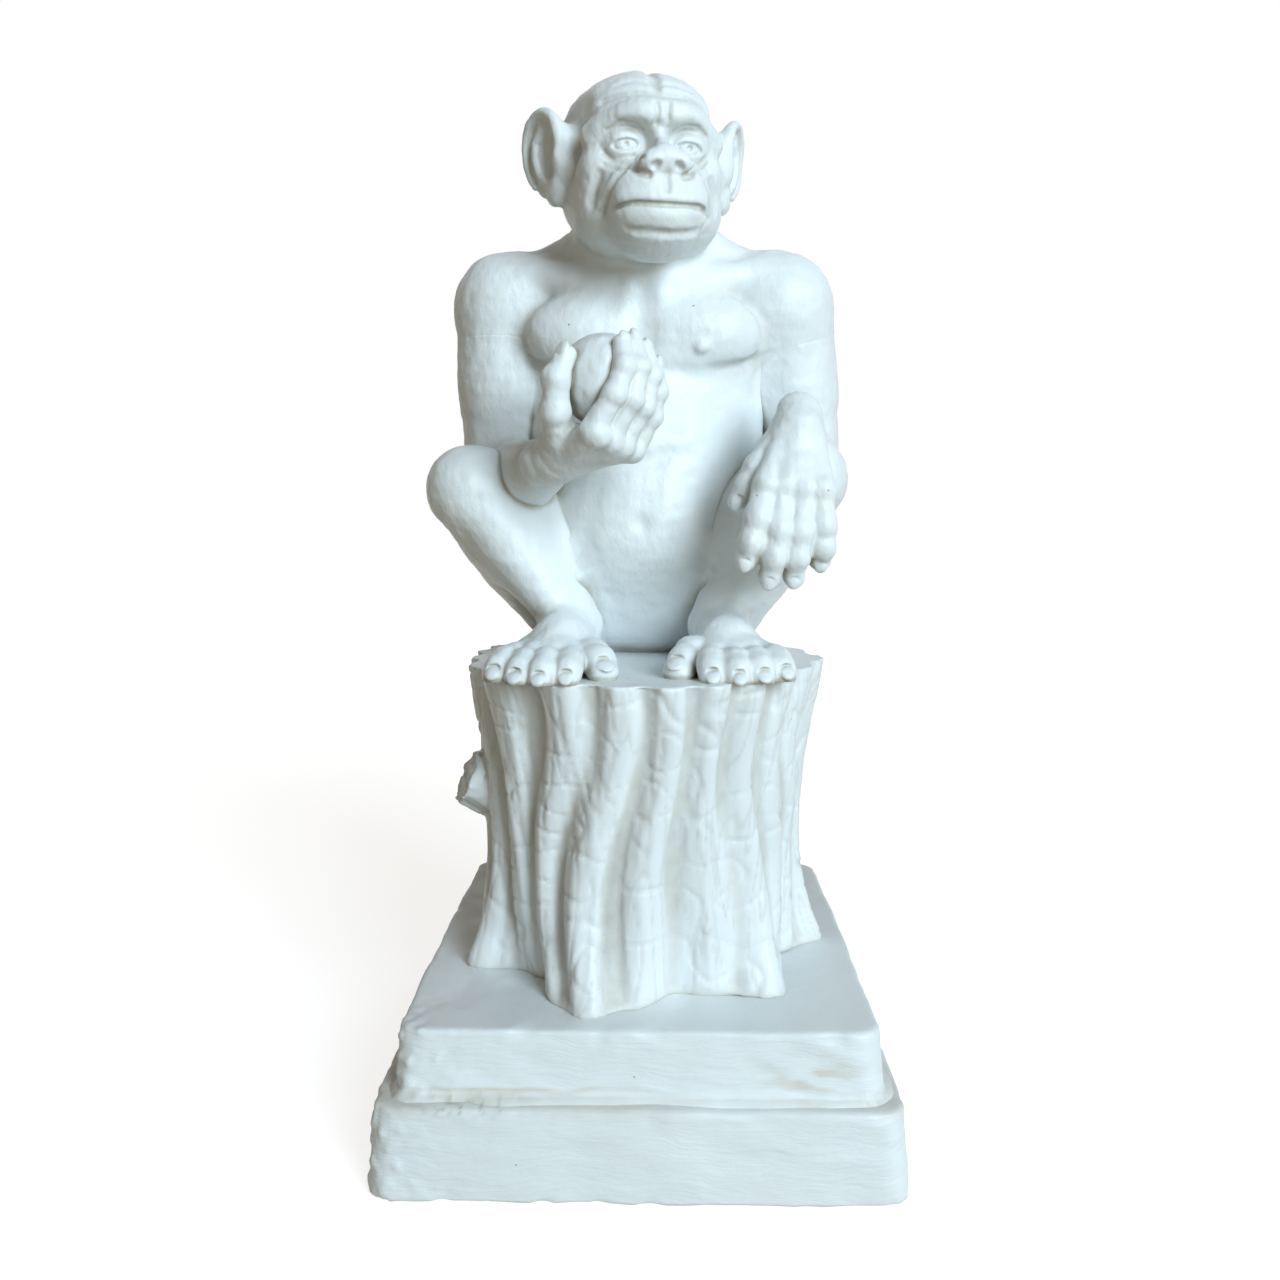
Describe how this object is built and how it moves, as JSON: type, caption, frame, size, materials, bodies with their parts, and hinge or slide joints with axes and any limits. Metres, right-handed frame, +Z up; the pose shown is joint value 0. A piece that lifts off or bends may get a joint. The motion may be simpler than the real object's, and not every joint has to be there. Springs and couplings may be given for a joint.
{
  "type": "monkey statue",
  "caption": "White-painted plaster statue of a seated ape on a tree stump, holding a round fruit, on a rectangular plinth of two steps.",
  "frame": {"origin": "middle of the base, in the plane of the undersides of the four felt pads", "axes": "+Z up, -Y the way the statue faces, +X to the left hand of the ape"},
  "size_m": [0.1458, 0.1568, 0.3262],
  "materials": {
    "painted_plaster": "satin",
    "felt": "matte",
    "steel": "satin"
  },
  "bodies": {
    "root": {"plinth_lower": "painted_plaster", "plinth_upper": "painted_plaster", "stump": "painted_plaster", "torso": "painted_plaster", "head": "painted_plaster", "left_arm": "painted_plaster", "right_arm": "painted_plaster", "left_hand": "painted_plaster", "right_hand": "painted_plaster", "left_leg": "painted_plaster", "right_leg": "painted_plaster", "left_foot": "painted_plaster", "right_foot": "painted_plaster", "fruit": "painted_plaster", "felt_pad_front_left": "felt", "felt_pad_front_right": "felt", "felt_pad_back_left": "felt", "felt_pad_back_right": "felt", "neck_dowel": "steel", "left_shoulder_dowel": "steel", "right_shoulder_dowel": "steel", "left_hip_dowel": "steel", "right_hip_dowel": "steel", "left_wrist_pin": "steel", "right_wrist_pin": "steel", "left_ankle_pin": "steel", "right_ankle_pin": "steel", "fruit_pin": "steel", "armature_rod": "steel", "rod_washer": "steel", "rod_nut": "steel"}
  },
  "joints": []
}
